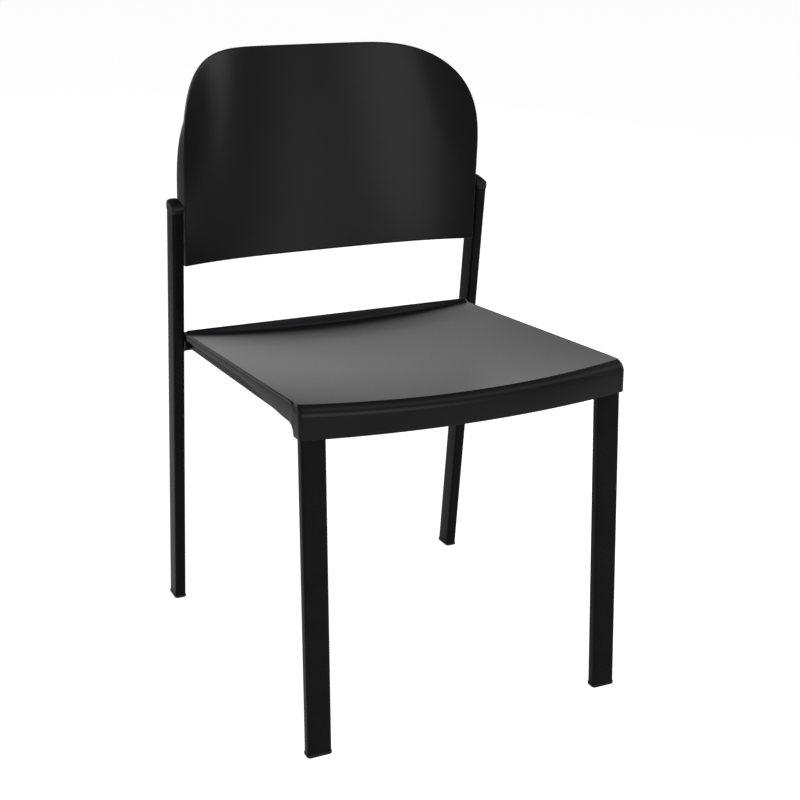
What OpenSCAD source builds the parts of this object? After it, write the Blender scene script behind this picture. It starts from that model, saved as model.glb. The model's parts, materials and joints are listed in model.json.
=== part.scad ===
// Stacking choir chair: a moulded seat and backrest on a welded frame of flat-sided oval tube.
// Millimetres, +Z up. The sitter faces -Y, and +X is to the right of someone who looks at the chair's front.
// The origin is on the floor, in the middle of the chair's width and depth.

/* [Seat] */
// Height of the seat's front edge above the floor
seat_front_h = 458; // [430:1:500]
// Height of the seat's side edges at the rear
seat_rear_h = 434.5; // [420:0.5:460]
// Depth of the seat between its front corners and its rear edge
seat_depth = 433; // [400:1:460]
// Width of the seat over its skirts at the front corners
seat_front_w = 445.6; // [410:0.2:480]
// Width of the seat over its skirts at the rear
seat_rear_w = 446.6; // [420:0.2:490]
// How far the middle of the front edge bows ahead of the corners
front_bow = 25; // [10:1:45]
// How far the front edge dips in its middle
front_dip = 4; // [1:0.5:6]
// Depth of the dish across the seat, just ahead of the rear lip
dish_depth = 10.5; // [4:0.5:14]
// Rise of the rear lip above the side edges
lip_rise = 4; // [2:0.5:6]
// Height of the front fascia
fascia_h = 41; // [36:1:48]
// Depth of the side skirts behind the gussets
skirt_h = 10.5; // [8:0.5:12]
// Wall of the seat moulding on top
seat_wall = 3.5; // [3:0.1:4.5]
// Wall of the skirts and the fascia
skirt_wall = 3; // [2:0.1:3.5]

/* [Backrest] */
// Height of the backrest's lower edge above the floor
back_bottom_h = 535; // [500:1:570]
// Height of the backrest from its lower to its upper edge
back_h = 286; // [260:1:320]
// Width of each round shoulder
shoulder_w = 143; // [100:1:170]
// Height of each round shoulder
shoulder_h = 165; // [120:1:180]
// How far the middle of the lower edge is set back from the side edges
recess_low = 23; // [10:1:30]
// How far the middle of the upper edge is set back from the line of the side edges
recess_high = 116; // [80:1:130]
// Lean of the side edges to the front, in degrees
back_lean = 5; // [3:0.5:8]
// Wall of the panel
back_wall = 5; // [4:0.5:6]
// Wall of the side flanges
flange_wall = 4; // [3:0.5:5]
// Depth of the side flanges, front to back
flange_depth = 36; // [32:1:40]

/* [Frame] */
// Wide side of the tube section
tube_wide = 32; // [28:1:34]
// Thin side of the tube section
tube_thin = 16; // [14:0.5:17]
// Corner radius of the tube section
tube_corner = 4; // [3:0.5:6]
// Wall of the tube
tube_wall = 1.5; // [1:0.1:2]
// Height of the rear cross rail's section
rear_cross_h = 25; // [22:0.5:28]
// Lean of the uprights, their feet to the rear, in degrees
upright_lean = 8; // [6:0.5:10]
// Height of the uprights' upper ends above the backrest's lower edge
upright_overlap = 78; // [76:1:90]
// Lean of the front legs, their feet to the front, in degrees
leg_lean = 1.6; // [0:0.1:3]
// Splay of the front legs, their feet outwards, in degrees
leg_splay = 0.6; // [0:0.1:1.5]

/* [Plugs and caps] */
// Height of a foot plug's flange
plug_flange_h = 4; // [3:0.5:6]
// How far plugs and caps stand proud of the tube
plug_proud = 0.8; // [0.4:0.1:1.5]
// Length of a foot plug's stem inside the tube
plug_stem = 20; // [12:1:30]
// Height of an upright's cap above the tube
cap_h = 15.5; // [14:0.5:18]
// Length of a cap's stem inside the tube
cap_stem = 13; // [8:1:14]

/* [Fasteners] */
// Diameter of the seat screws
seat_screw_d = 4.8; // [4:0.1:5.5]
// Diameter of the backrest screws
back_screw_d = 6; // [5:0.5:6]
// Thickness of a rivet nut's flange, which spaces the backrest from the upright
nut_flange_t = 1.4; // [1.4:0.1:2.4]

/* [Hidden] */
$fn = 48;

// Sides of the chair, as signs of X
left = -1;
right = 1;
sides = [left, right];

// Colours of the moulded plastic, the painted tube, the plugs and the plated fasteners
plastic_black = [0.17, 0.17, 0.17];
paint_black = [0.07, 0.07, 0.07];
plug_black = [0.11, 0.11, 0.11];
zinc_grey = [0.55, 0.56, 0.58];

// Overrun of every cut past the face that it leaves
cut = 1;
// Gap around a stem inside its tube
stem_gap = 0.3;
// Gap around a shank in its pilot or its thread, on the radius
thread_gap = 0.05;
// Gap around a shank in a clearance hole, on the radius
hole_gap = 0.3;

// Lead of the fascia's face ahead of the top's front edge, at the corners and in the middle
corner_lead = 12.5;
middle_lead = 12.5;
// Fall of the rolled front edge, and radius of the rolled side and rear edges
front_roll = 14;
edge_roll = 3;
// Straight edge below the roll at the rear
rear_edge = 1.5;
// Corner radii of the seat in plan
front_corner_r = 8;
rear_corner_r = 6;
// Run of the rear lip, from its crest down into the dish
lip_run = 10;
// Run over which the skirts deepen towards the gussets, and how much deeper they get
swell_run = 210;
swell_depth = 15.5;
// Length of a gusset behind the fascia's face, and the radius of its hollow
gusset_len = 23;
gusset_r = 15.5;
// Space between the moulded seat and the tubes inside it
seat_gap = 0.3;
leg_gap = 0.5;
// Flatness of the dish across the seat, and of its fade to the front
dish_power = 2;
fade_power = 3;
// Share of the dish that the rear lip's foot reaches, and the run over which the rest follows
lip_share = 0.75;
bowl_run = 100;

// Upright axis behind the seat's rear edge, at the height of that edge
upright_set_back = 10.3;
// Space between the skirts and the uprights
upright_gap = 1.6;
// Front leg axis behind the fascia's face at the corners, and its upper end below the seat's front edge
leg_set_back = 15;
leg_drop = 14;
// Side rail axis below the seat's front edge, at the front legs
rail_drop = 21;
// Front cross rail axis behind the front legs' axes, and below the seat's front edge
front_cross_set_back = 8;
front_cross_drop = 25.5;
// How far the rear cross rail lies below the side edges of the seat at the rear
rear_cross_drop = 3;
// Length of a weld spacer ahead of the rear cross rail
spacer_len = 12;
// Seat tabs under the side rails: thickness, length, reach inwards and place ahead of the seat's rear edge
tab_t = 3;
tab_len = 34;
tab_reach = 27;
tab_ahead = 42;

// Backrest: side edges ahead of the uprights' front faces, and the edge rounding
back_lead = 1.8;
back_edge_r = 2;
// Fillet between a flange and the panel, and the draft of the flange's inner face
flange_fillet = 2;
flange_draft = 0.4;
// Heights above the lower edge between which the flanges run out
flange_full_h = 93;
flange_end_h = 210;
// Flatness of the panel across, and fullness of the shoulders and of the flanges' run-out
panel_power = 3.5;
shoulder_power = 0.65;
flange_power = 2.7;

// Cap dome: peak behind the tube's axis, radii ahead of the peak and behind it, and margin of the radius across
cap_peak = 6;
cap_front_r = 34;
cap_rear_r = 11;
cap_side_margin = 2;

// Seat screws, washers and bosses
screw_head_d = 9;
screw_head_h = 3;
washer_d = 11;
washer_t = 1.2;
boss_d = 12;
front_bite = 11;
rear_bite = 8;
front_screw_in = 37;
rear_screw_in = 13;
// Backrest screws, washers and rivet nuts
button_d = 10.5;
button_h = 3.4;
back_washer_d = 12;
back_washer_t = 1.6;
back_screw_len = 16;
nut_body_d = 9;
nut_body_len = 11;
nut_flange_d = 13;
spot_gap = 0.5;
spot_depth = 7;
// Heights of the backrest screws above the backrest's lower edge, and their place behind the upright's axis
back_screw_heights = [22, 54];
back_screw_back = 5;
// Hexagon socket of every screw: size across the corners and depth
socket_d = 4;
socket_depth = 1.8;

// Overall depth, and the seat's place in it
upright_foot_back = upright_set_back + seat_rear_h * tan(upright_lean);
rear_reach = upright_foot_back + (tube_wide / 2 + plug_proud) / cos(upright_lean);
total_depth = middle_lead + front_bow + seat_depth + rear_reach;
seat_front_y = middle_lead + front_bow - total_depth / 2;
seat_rear_y = seat_front_y + seat_depth;
seat_middle_y = (seat_front_y + seat_rear_y) / 2;

// Uprights
upright_inner_x = seat_rear_w / 2 + upright_gap;
upright_x = upright_inner_x + tube_thin / 2;
upright_foot_y = seat_rear_y + upright_foot_back;
upright_len = (back_bottom_h + upright_overlap) / cos(upright_lean);
function upright_y(z) = upright_foot_y - z * tan(upright_lean);

// Front legs
leg_top_z = seat_front_h - leg_drop;
leg_foot_x = seat_front_w / 2 - skirt_wall - leg_gap - tube_wide / 2 + (seat_front_h - fascia_h) * tan(leg_splay);
leg_foot_y = seat_front_y - corner_lead + leg_set_back - leg_top_z * tan(leg_lean) / cos(leg_splay);
leg_len = leg_top_z / (cos(leg_lean) * cos(leg_splay));
function leg_x(z) = leg_foot_x - z * tan(leg_splay);
function leg_y(z) = leg_foot_y + z * tan(leg_lean) / cos(leg_splay);

// Side rails, from the front legs' axes to the rear cross rail
function dish_share(x, half) = max(0, 1 - pow(abs(x) / half, dish_power));
rail_front_z = seat_front_h - rail_drop;
rail_front_x = leg_x(rail_front_z);
rail_front_y = leg_y(rail_front_z);
rail_rear_x = seat_rear_w / 2 - skirt_wall - seat_gap - tube_wide / 2;
rail_dish = dish_depth * dish_share(rail_rear_x - tube_wide / 2 + tube_corner, seat_rear_w / 2);
rail_rear_z = seat_rear_h - rail_dish - seat_wall - seat_gap - tube_thin / 2;
rail_run = seat_rear_y - rail_front_y;
rail_turn = atan2(rail_rear_x - rail_front_x, rail_run);
rail_fall = atan2((rail_front_z - rail_rear_z) * cos(rail_turn), rail_run);
rail_end_y = upright_y(rail_rear_z);
rail_len = (rail_end_y - rail_front_y) / (cos(rail_fall) * cos(rail_turn));
function rail_z(y) = rail_front_z - (y - rail_front_y) * (rail_front_z - rail_rear_z) / rail_run;

// Cross rails
front_cross_z = seat_front_h - front_cross_drop;
front_cross_y = leg_y(front_cross_z) + front_cross_set_back;
rear_cross_z = seat_rear_h - rear_cross_drop - rear_cross_h / 2;
rear_cross_y = upright_y(rear_cross_z);
rear_cross_front_y = rear_cross_y - tube_thin / 2 / cos(upright_lean);

// Half the seat's width over its skirts at a place along its depth
function seat_half(y) = (seat_front_w + (seat_rear_w - seat_front_w) * (y - seat_front_y) / seat_depth) / 2;
// Run of the top from its front edge, which bows ahead of the corners, to its rear edge at a place across
function seat_run(x) = seat_depth + front_bow * max(0, 1 - pow(x / (seat_half(seat_front_y) - front_corner_r), 2));
// Height of the straight line from the front edge to the rear edge
function edge_z(y, run = seat_depth) =
    seat_rear_h + (seat_front_h - seat_rear_h) * min(1, (seat_rear_y - y) / run);
// An even rise from 0 to 1
function rise(t) = t <= 0 ? 0 : t >= 1 ? 1 : t * t * (3 - 2 * t);
// Height of that line with the rear lip, which rises above the side edges over its run
function crest_z(y, run = seat_depth) =
    edge_z(y, run) + lip_rise * (1 - rise((seat_rear_y - edge_roll - y) / lip_run));
// Share of the dish's depth behind the lip: a steep foot, then a long hollow
function dish_rise(behind) = lip_share * rise(behind / lip_run) + (1 - lip_share) * rise(behind / bowl_run);
// Height of the seat's upper face: a dish below the lines, which fades to the front edge's dip and ends at the lip
function seat_z(x, y) =
    let (
        run = seat_run(x),
        behind = max(0, seat_rear_y - edge_roll - y),
        along = 1 - (1 - front_dip / dish_depth) * pow(min(1, behind / run), fade_power)
    )
    crest_z(y, run) - dish_depth * dish_share(x, seat_half(y)) * along * dish_rise(behind);

// Seat outline in plan, clockwise from above, from the rear right corner.
// A point holds X, Y and its edge: 0 rear, 1 side, 2 front.
side_shares = [0.016, 0.1, 0.22, 0.34, 0.46, 0.56, 0.66, 0.76, 0.85, 0.92, 0.94, 0.954, 0.966, 0.975];
corner_angles = [0, 30, 60, 90];
front_steps = 20;
rear_steps = 14;
function mirrored(points) = [for (i = [len(points) - 1:-1:0]) [-points[i][0], points[i][1], points[i][2]]];
function seat_outline(side_in, rear_in, lead, middle, front_r, rear_r) =
    let (
        rear_y = seat_rear_y - rear_in,
        front_y = seat_front_y - lead,
        half_rear = seat_half(rear_y) - side_in,
        half_front = seat_half(front_y) - side_in,
        side_run = rear_y - rear_r - front_y - front_r,
        half_way = concat(
            [for (a = corner_angles)
                [half_rear - rear_r + rear_r * sin(a), rear_y - rear_r + rear_r * cos(a), a < 90 ? 0 : 1]],
            [for (s = side_shares)
                let (y = rear_y - rear_r - side_run * s) [seat_half(y) - side_in, y, 1]],
            [for (a = corner_angles)
                [half_front - front_r + front_r * cos(a), front_y + front_r - front_r * sin(a), 2]]
        )
    )
    concat(
        half_way,
        [for (i = [1:front_steps - 1])
            let (u = 1 - 2 * i / front_steps)
            [(half_front - front_r) * u, front_y - (front_bow + middle - lead) * (1 - u * u), 2]],
        mirrored(half_way),
        [for (i = [1:rear_steps - 1]) [(half_rear - rear_r) * (2 * i / rear_steps - 1), rear_y, 0]]
    );
function seat_drawn(outline, share) =
    [for (p = outline) [p[0] * share, seat_middle_y + (p[1] - seat_middle_y) * share, p[2]]];

// Depth of the skirt below the seat's edge at a point of the outline
function skirt_depth(p) =
    let (
        gusset_y = seat_front_y - corner_lead + gusset_len,
        swell = swell_depth * rise((gusset_y + swell_run - p[1]) / swell_run),
        into = min(1, max(0, gusset_y + gusset_r - p[1]) / gusset_r),
        hollow = 1 - sqrt(1 - into * into)
    )
    p[2] == 0 ? max(edge_roll + rear_edge, seat_wall + lip_rise + dish_depth * dish_share(p[0], seat_half(p[1])))
    : p[2] == 2 ? fascia_h - front_dip * dish_share(p[0], seat_half(p[1]))
    : skirt_h + swell + (fascia_h - skirt_h - swell) * hollow + crest_z(p[1]) - edge_z(p[1]);

// A closed solid from an end point through rings of equal length to the other end point.
// Seen from the first end point, each ring runs clockwise.
module ring_solid(first, rings, end) {
    n = len(rings[0]);
    last = len(rings) - 1;
    points = concat([first], [for (ring = rings) for (p = ring) p], [end]);
    polyhedron(points, concat(
        [for (i = [0:n - 1]) [0, 1 + i, 1 + (i + 1) % n]],
        [for (r = [0:last - 1]) for (i = [0:n - 1]) [1 + r * n + i, 1 + r * n + n + i, 1 + r * n + (i + 1) % n]],
        [for (r = [0:last - 1]) for (i = [0:n - 1])
            [1 + r * n + (i + 1) % n, 1 + r * n + n + i, 1 + r * n + n + (i + 1) % n]],
        [for (i = [0:n - 1]) [len(points) - 1, 1 + last * n + (i + 1) % n, 1 + last * n + i]]
    ));
}

// Outline of the tube, wide along Y, grown by a margin
module oval(margin, wide = tube_wide) {
    r = tube_corner + margin;
    x = tube_thin / 2 - tube_corner;
    y = wide / 2 - tube_corner;
    square([2 * (x + r), 2 * y], center = true);
    square([2 * x, 2 * (y + r)], center = true);
    for (sx = sides) for (sy = sides) translate([sx * x, sy * y]) circle(r);
}

module oval_bar(length, margin = 0, wide = tube_wide) {
    linear_extrude(length) oval(margin, wide);
}

module oval_tube(length, wide = tube_wide) {
    linear_extrude(length) difference() {
        oval(0, wide);
        oval(-tube_wall, wide);
    }
}

// Frames whose Z runs along a tube's axis, with the wide side of the section along the frame's Y
module at_foot(x, y, tilt, spin) {
    translate([x, y, 0]) rotate(tilt) rotate([0, 0, spin]) children();
}

module at_upright(side) {
    at_foot(side * upright_x, upright_foot_y, [upright_lean, 0, 0], 0) children();
}

module at_leg(side) {
    at_foot(side * leg_foot_x, leg_foot_y, [-leg_lean, -side * leg_splay, 0], 90) children();
}

// Frame of a side rail, with Y along its axis to the rear and Z square to its wide faces
module on_rail(side) {
    translate([side * rail_front_x, rail_front_y, rail_front_z])
        rotate([0, 0, -side * rail_turn]) rotate([-rail_fall, 0, 0]) children();
}

module rail_bar(side) {
    on_rail(side) rotate([-90, 0, 0]) rotate([0, 0, 90]) oval_bar(rail_len + cut);
}

// Frame of a backrest screw, with Z towards the upright, and its origin on the upright's inner face
module at_back_screw(side, h) {
    z = back_bottom_h + h;
    translate([side * upright_inner_x, upright_y(z) + back_screw_back, z]) rotate([0, side * 90, 0]) children();
}

// Frame of a front seat screw, with its origin on the cross rail's upper face
front_screw_x = leg_x(front_cross_z) - tube_wide / 2 - front_screw_in;
module at_front_screw(side) {
    translate([side * front_screw_x, front_cross_y, front_cross_z + tube_thin / 2]) children();
}

// Frame of a rear seat screw, with its origin on the tab's upper face
tab_y = rail_run - tab_ahead;
rear_screw_x = tube_wide / 2 + rear_screw_in;
module at_rear_screw(side) {
    on_rail(side) translate([-side * rear_screw_x, tab_y, -tube_thin / 2]) children();
}

// The space at a foot, up to a height
module floor_space(x, y, height) {
    translate([x - tube_wide, y - tube_wide, 0]) cube([2 * tube_wide, 2 * tube_wide, height]);
}

module upright(side) {
    color(paint_black)
    difference() {
        at_upright(side) oval_tube(upright_len);
        translate([0, 0, -tube_wide]) floor_space(side * upright_x, upright_foot_y, tube_wide + plug_flange_h);
        for (h = back_screw_heights)
            at_back_screw(side, h) cylinder(h = tube_thin, d = nut_body_d + 2 * thread_gap, center = true);
    }
}

module front_leg(side) {
    color(paint_black)
    difference() {
        at_leg(side) oval_tube(leg_len);
        translate([0, 0, -tube_wide]) floor_space(side * leg_foot_x, leg_foot_y, tube_wide + plug_flange_h);
    }
}

module side_rail(side) {
    start = tube_thin / 2 - tube_corner;
    color(paint_black)
    difference() {
        on_rail(side) rotate([-90, 0, 0]) rotate([0, 0, 90])
            translate([0, 0, start]) oval_tube(rail_len - start);
        at_leg(side) oval_bar(leg_len + tube_wide);
        rear_cross_bar();
    }
}

module front_cross_rail() {
    reach = leg_x(front_cross_z) - tube_wide / 2 + tube_corner;
    color(paint_black)
    difference() {
        translate([-reach, front_cross_y, front_cross_z]) rotate([0, 90, 0]) oval_tube(2 * reach);
        for (side = sides) {
            at_leg(side) oval_bar(leg_len + tube_wide);
            rail_bar(side);
            at_front_screw(side) cylinder(h = 3 * tube_thin, d = seat_screw_d + 2 * hole_gap, center = true);
        }
    }
}

// Frame of the rear cross rail, with Z along its axis and the wide side of its section along the frame's Y
module on_rear_cross() {
    translate([-upright_inner_x, rear_cross_y, rear_cross_z]) rotate([upright_lean, 0, 0])
        rotate([0, 90, 0]) rotate([0, 0, 90]) children();
}

// The rear cross rail's outer form, which runs on past both ends
module rear_cross_bar() {
    on_rear_cross() translate([0, 0, -cut]) oval_bar(2 * (upright_inner_x + cut), 0, rear_cross_h);
}

module rear_cross_rail() {
    color(paint_black) on_rear_cross() oval_tube(2 * upright_inner_x, rear_cross_h);
}

// A block between a side rail and an upright, under the skirt and ahead of the rear cross rail
module weld_spacer(side) {
    length = spacer_len + tube_thin / 2;
    top_z = seat_rear_h - skirt_h - seat_gap;
    bottom_z = rail_z(rear_cross_front_y - length) - tube_thin / 2;
    inner_x = rail_rear_x + tube_wide / 2 - tube_corner;
    width = upright_inner_x - inner_x;
    color(paint_black)
    difference() {
        translate([side * (inner_x + width / 2), rear_cross_y - length / 2, (top_z + bottom_z) / 2])
            cube([width, length, top_z - bottom_z], center = true);
        rail_bar(side);
        rear_cross_bar();
    }
}

module seat_tab(side) {
    width = tab_reach + tube_wide / 2;
    color(paint_black)
    difference() {
        on_rail(side) translate([-side * width / 2, tab_y, -(tube_thin + tab_t) / 2])
            cube([width, tab_len, tab_t], center = true);
        at_rear_screw(side) cylinder(h = 3 * tab_t, d = seat_screw_d + 2 * hole_gap, center = true);
    }
}

// Seat moulding: rings run from the middle of the top outwards, down the skirt and back in underneath
top_shares = [0.2, 0.38, 0.54, 0.67, 0.78, 0.87, 0.93, 0.963, 0.985];
under_shares = [0.965, 0.92, 0.8, 0.6, 0.35];
module seat_body() {
    roll_share = 1 - sin(45);
    crest = seat_outline(edge_roll, edge_roll, 0, 0, front_corner_r - edge_roll, rear_corner_r - edge_roll);
    curve = seat_outline(edge_roll * roll_share, edge_roll * roll_share,
        corner_lead * (1 - roll_share), middle_lead * (1 - roll_share),
        front_corner_r - edge_roll * roll_share, rear_corner_r - edge_roll * roll_share);
    outer = seat_outline(0, 0, corner_lead, middle_lead, front_corner_r, rear_corner_r);
    inner = seat_outline(skirt_wall, skirt_wall, corner_lead - skirt_wall, middle_lead - skirt_wall,
        front_corner_r - skirt_wall, rear_corner_r - skirt_wall);
    all = [0:len(outer) - 1];
    dips = [for (p = crest) p[2] == 2 ? front_dip * dish_share(p[0], seat_half(p[1])) : 0];
    levels = [for (i = all) crest_z(crest[i][1], seat_run(crest[i][0])) - dips[i]];
    falls = [for (p = crest) p[2] == 2 ? front_roll : edge_roll];
    depths = [for (p = outer) skirt_depth(p)];
    ring_solid(
        [0, seat_middle_y, seat_z(0, seat_middle_y)],
        concat(
            [for (s = top_shares) [for (p = seat_drawn(crest, s)) [p[0], p[1], seat_z(p[0], p[1])]]],
            [
                [for (i = all) [crest[i][0], crest[i][1], levels[i]]],
                [for (i = all) [curve[i][0], curve[i][1], levels[i] - falls[i] * roll_share]],
                [for (i = all) [outer[i][0], outer[i][1], levels[i] - falls[i]]],
                [for (i = all) [outer[i][0], outer[i][1], levels[i] - depths[i]]],
                [for (i = all) [inner[i][0], inner[i][1], levels[i] - depths[i]]],
                [for (i = all) [inner[i][0], inner[i][1], levels[i] - falls[i]]]
            ],
            [for (s = under_shares)
                [for (p = seat_drawn(inner, s)) [p[0], p[1], seat_z(p[0], p[1]) - seat_wall]]]
        ),
        [0, seat_middle_y, seat_z(0, seat_middle_y) - seat_wall]
    );
}

// A boss that stands on a screw's frame and ends inside the seat's top wall above a place
module seat_boss(x, y, foot_z) {
    cylinder(h = seat_z(x, y) - seat_wall / 2 - foot_z, d = boss_d);
}

rear_boss_x = rail_rear_x - rear_screw_x;
rear_boss_y = rail_front_y + tab_y;
module seat_shell() {
    color(plastic_black)
    difference() {
        union() {
            seat_body();
            for (side = sides) {
                at_front_screw(side) seat_boss(front_screw_x, front_cross_y, front_cross_z + tube_thin / 2);
                at_rear_screw(side) seat_boss(rear_boss_x, rear_boss_y, rail_z(rear_boss_y) - tube_thin / 2);
            }
        }
        for (side = sides) {
            at_front_screw(side)
                translate([0, 0, -cut]) cylinder(h = cut + front_bite, d = seat_screw_d + 2 * thread_gap);
            at_rear_screw(side)
                translate([0, 0, -cut]) cylinder(h = cut + rear_bite, d = seat_screw_d + 2 * thread_gap);
        }
    }
}

// Backrest: front face, which runs back from the side edges to a nearly flat middle
back_half = upright_inner_x - nut_flange_t;
back_top_h = back_bottom_h + back_h;
back_middle_z = (back_bottom_h + back_top_h) / 2;
back_low_y = upright_y(back_bottom_h) - tube_wide / 2 / cos(upright_lean) - back_lead;
function back_recess(z) = recess_low + (recess_high - recess_low) * (z - back_bottom_h) / back_h;
function back_share(x) = max(0, 1 - pow(abs(x) / back_half, panel_power));
function back_face_y(x, z) = back_low_y - (z - back_bottom_h) * tan(back_lean) + back_recess(z) * back_share(x);
// Place of the rear face, a wall's thickness behind the front face and square to it
function back_rear_y(x, z) =
    let (
        across = back_recess(z) / back_half * panel_power * pow(min(1, abs(x) / back_half), panel_power - 1),
        up = (recess_high - recess_low) / back_h * back_share(x) - tan(back_lean)
    )
    back_face_y(x, z) + back_wall * sqrt(1 + across * across + up * up);
// Depth of the side flange at a height
function flange_reach(z) =
    let (t = (z - back_bottom_h - flange_full_h) / (flange_end_h - flange_full_h))
    t <= 0 ? flange_depth : t >= 1 ? 0 : flange_depth * (1 - pow(t, flange_power));

// Backrest outline, clockwise from the front, from the middle of the top.
// A point holds X, Z and 1 where the side has its flange.
shoulder_angles = [90, 86, 81, 74, 65, 55, 45, 35, 25, 16, 9, 4, 0];
crown_shares = [0.35, 0.7];
flank_shares = [0.25, 0.5, 0.75];
low_shares = [0.95, 0.88, 0.78, 0.66, 0.52, 0.36, 0.18];
function back_outline(inset) =
    let (
        half = back_half - inset,
        low = back_bottom_h + inset,
        high = back_top_h - inset,
        round_w = shoulder_w - inset,
        round_h = shoulder_h - inset,
        flank = high - round_h - low,
        end_x = back_half - flange_wall - 2 * flange_fillet,
        half_way = concat(
            [for (s = crown_shares) [(half - round_w) * s, high, 0]],
            [for (a = shoulder_angles) [
                half - round_w + round_w * pow(cos(a), shoulder_power),
                high - round_h + round_h * pow(sin(a), shoulder_power),
                1
            ]],
            [for (s = flank_shares) [half, high - round_h - flank * s, 1]],
            [[half, low, 1], [end_x, low, 0]],
            [for (s = low_shares) [end_x * s, low, 0]]
        )
    )
    concat([[0, high, 0]], half_way, [[0, low, 0]], mirrored(half_way));
function back_drawn(outline, share) =
    [for (p = outline) [p[0] * share, back_middle_z + (p[1] - back_middle_z) * share, p[2]]];

// Backrest moulding: rings run from the middle of the front outwards, back along the flanges and in again behind
front_shares = [0.2, 0.38, 0.54, 0.68, 0.79, 0.88, 0.94, 0.975];
rear_shares = [0.97, 0.92, 0.84, 0.7, 0.5, 0.25];
module back_body() {
    curve_share = 1 - sin(45);
    edge = back_outline(back_edge_r);
    curve = back_outline(back_edge_r * curve_share);
    outer = back_outline(0);
    inner = back_outline(flange_wall);
    foot = back_outline(flange_wall + flange_draft);
    root = back_outline(flange_wall + flange_fillet);
    all = [0:len(outer) - 1];
    face = [for (p = outer) back_face_y(p[0], p[1])];
    ends = [for (p = outer) back_face_y(p[0], p[1]) + (p[2] == 0 ? 0 : flange_reach(p[1]))];
    tips = [for (i = all) max(ends[i], back_rear_y(inner[i][0], inner[i][1]))];
    ring_solid(
        [0, back_face_y(0, back_middle_z), back_middle_z],
        concat(
            [for (s = front_shares) [for (p = back_drawn(edge, s)) [p[0], back_face_y(p[0], p[1]), p[1]]]],
            [
                [for (p = edge) [p[0], back_face_y(p[0], p[1]), p[1]]],
                [for (i = all) [curve[i][0], face[i] + back_edge_r * curve_share, curve[i][1]]],
                [for (i = all) [outer[i][0], face[i] + back_edge_r, outer[i][1]]],
                [for (i = all) [outer[i][0], max(ends[i], back_rear_y(outer[i][0], outer[i][1])), outer[i][1]]],
                [for (i = all) [inner[i][0], tips[i], inner[i][1]]],
                [for (i = all)
                    [foot[i][0], min(tips[i], back_rear_y(foot[i][0], foot[i][1]) + flange_fillet), foot[i][1]]],
                [for (p = root) [p[0], back_rear_y(p[0], p[1]), p[1]]]
            ],
            [for (s = rear_shares) [for (p = back_drawn(root, s)) [p[0], back_rear_y(p[0], p[1]), p[1]]]]
        ),
        [0, back_rear_y(0, back_middle_z), back_middle_z]
    );
}

module backrest_shell() {
    seat_plane = nut_flange_t + flange_wall;
    color(plastic_black)
    difference() {
        back_body();
        for (side = sides) for (h = back_screw_heights) at_back_screw(side, h) {
            translate([0, 0, -seat_plane - cut]) cylinder(h = seat_plane + cut, d = back_screw_d + 2 * hole_gap);
            translate([0, 0, -seat_plane - spot_depth]) cylinder(h = spot_depth, d = back_washer_d + 2 * spot_gap);
        }
    }
}

// Cap of an upright: a dome that peaks behind the tube's axis, on a stem
module cap_profile() {
    span = 2 * tube_wide;
    intersection() {
        translate([cap_peak, cap_h - cap_front_r]) circle(cap_front_r, $fn = 96);
        translate([cap_peak - span, 0]) square([span, span]);
    }
    intersection() {
        translate([cap_peak, cap_h - cap_rear_r]) circle(cap_rear_r);
        translate([cap_peak, cap_h - cap_rear_r]) square(span);
    }
    translate([cap_peak, 0]) square([cap_rear_r, cap_h - cap_rear_r]);
}

module upright_cap(side) {
    side_r = tube_thin / 2 + cap_side_margin;
    color(plug_black)
    at_upright(side) translate([0, 0, upright_len]) {
        translate([0, 0, -cap_stem]) oval_bar(cap_stem + cut, -tube_wall - stem_gap);
        intersection() {
            oval_bar(cap_h + cut, plug_proud);
            rotate([90, 0, 90]) linear_extrude(2 * tube_wide, center = true) cap_profile();
            translate([0, 0, cap_h - side_r]) {
                rotate([90, 0, 0]) cylinder(h = 2 * tube_wide, r = side_r, center = true);
                translate([-side_r, -tube_wide, -cap_h]) cube([2 * side_r, 2 * tube_wide, cap_h]);
            }
        }
    }
}

// Plug in a tube's lower end: a flange that lies flat on the floor, and a stem
module foot_plug(x, y, tilt, spin) {
    color(plug_black)
    intersection() {
        union() {
            intersection() {
                at_foot(x, y, tilt, spin) translate([0, 0, -tube_wide]) oval_bar(2 * tube_wide, plug_proud);
                floor_space(x, y, plug_flange_h);
            }
            at_foot(x, y, tilt, spin) translate([0, 0, -tube_wide])
                oval_bar(tube_wide + plug_flange_h + plug_stem, -tube_wall - stem_gap);
        }
        floor_space(x, y, 2 * tube_wide);
    }
}

module front_foot_plug(side) {
    foot_plug(side * leg_foot_x, leg_foot_y, [-leg_lean, -side * leg_splay, 0], 90);
}

module rear_foot_plug(side) {
    foot_plug(side * upright_x, upright_foot_y, [upright_lean, 0, 0], 0);
}

// Screw whose head's seat is at Z = 0, with its shank up and a hexagon socket in its head
module screw(shank_d, shank_len, head_d, head_h) {
    difference() {
        union() {
            cylinder(h = shank_len, d = shank_d);
            translate([0, 0, -head_h]) cylinder(h = head_h, d = head_d);
        }
        translate([0, 0, -head_h - cut]) cylinder(h = socket_depth + cut, d = socket_d, $fn = 6);
    }
}

module ring(outer_d, inner_d, height) {
    difference() {
        cylinder(h = height, d = outer_d);
        translate([0, 0, -cut]) cylinder(h = height + 2 * cut, d = inner_d);
    }
}

module front_seat_screws() {
    below = tube_thin + washer_t;
    color(zinc_grey)
    for (side = sides) at_front_screw(side) translate([0, 0, -below])
        screw(seat_screw_d, below + front_bite, screw_head_d, screw_head_h);
}

module rear_seat_screws() {
    below = tab_t + washer_t;
    color(zinc_grey)
    for (side = sides) at_rear_screw(side) translate([0, 0, -below])
        screw(seat_screw_d, below + rear_bite, screw_head_d, screw_head_h);
}

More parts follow.
